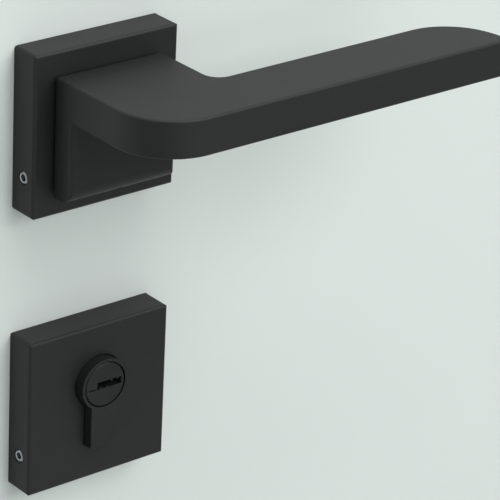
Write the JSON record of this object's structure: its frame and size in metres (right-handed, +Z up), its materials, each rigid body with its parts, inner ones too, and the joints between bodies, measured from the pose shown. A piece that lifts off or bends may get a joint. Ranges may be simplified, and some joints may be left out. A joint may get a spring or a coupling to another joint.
{
  "type": "door lever handle",
  "caption": "Black door lever handle on a square rose, with a matching square key escutcheon and profile cylinder below; the lever turns down against a return spring.",
  "frame": {"origin": "on the lever's turning axis, where it meets the door's face", "axes": "+X along the lever, from its neck to its tip; +Y into the door; +Z up"},
  "size_m": [0.142, 0.1171, 0.145],
  "materials": {
    "black_coat": "satin black powder coat",
    "black_cylinder": "satin black plating",
    "die_cast": "as cast, grey",
    "zinc_steel": "bright zinc plated",
    "spring_steel": "plain spring steel",
    "nylon": "natural nylon",
    "brass": "turned"
  },
  "bodies": {
    "door_side": {"rose_cover": "black_coat", "rose_grub_screw": "zinc_steel", "rose_base": "die_cast", "neck_bush": "nylon", "slide_ring": "nylon", "return_spring": "spring_steel", "back_plate": "zinc_steel", "rose_bolts": "zinc_steel", "escutcheon_cover": "black_coat", "escutcheon_grub_screw": "zinc_steel", "escutcheon_base": "die_cast", "escutcheon_bolts": "zinc_steel", "cylinder_body": "black_cylinder", "pin_springs": "spring_steel", "chamber_plugs": "brass"},
    "lever": {"lever": "black_coat", "lever_grub_screw": "zinc_steel", "spindle": "zinc_steel", "drive_disc": "die_cast", "thrust_washer": "spring_steel", "neck_clip": "spring_steel"},
    "plug": {"key_plug": "black_cylinder", "plug_clip": "spring_steel", "cylinder_cam": "die_cast"},
    "key_pins": {"key_pins": "brass"},
    "driver_pins": {"driver_pins": "brass"}
  },
  "joints": [
    {"name": "lever_turn", "type": "hinge", "parent": "door_side", "child": "lever", "pos_m": [0, 0, 0], "axis": [0, 1, 0], "range_deg": [0, 45], "stiffness_Nm_per_rad": 0.8, "springref_deg": -51.57, "deforming": ["return_spring"]},
    {"name": "plug_turn", "type": "hinge", "parent": "door_side", "child": "plug", "pos_m": [0, 0, -0.086], "axis": [0, 1, 0], "continuous": true},
    {"name": "key_pins_rise", "type": "slide", "parent": "plug", "child": "key_pins", "axis": [0, 0, 1], "range_m": [0, 0.0015]},
    {"name": "driver_pins_press", "type": "slide", "parent": "door_side", "child": "driver_pins", "axis": [0, 0, -1], "range_m": [0, 0.0015], "stiffness_N_per_m": 150, "springref_m": -0.004, "deforming": ["pin_springs"]}
  ]
}
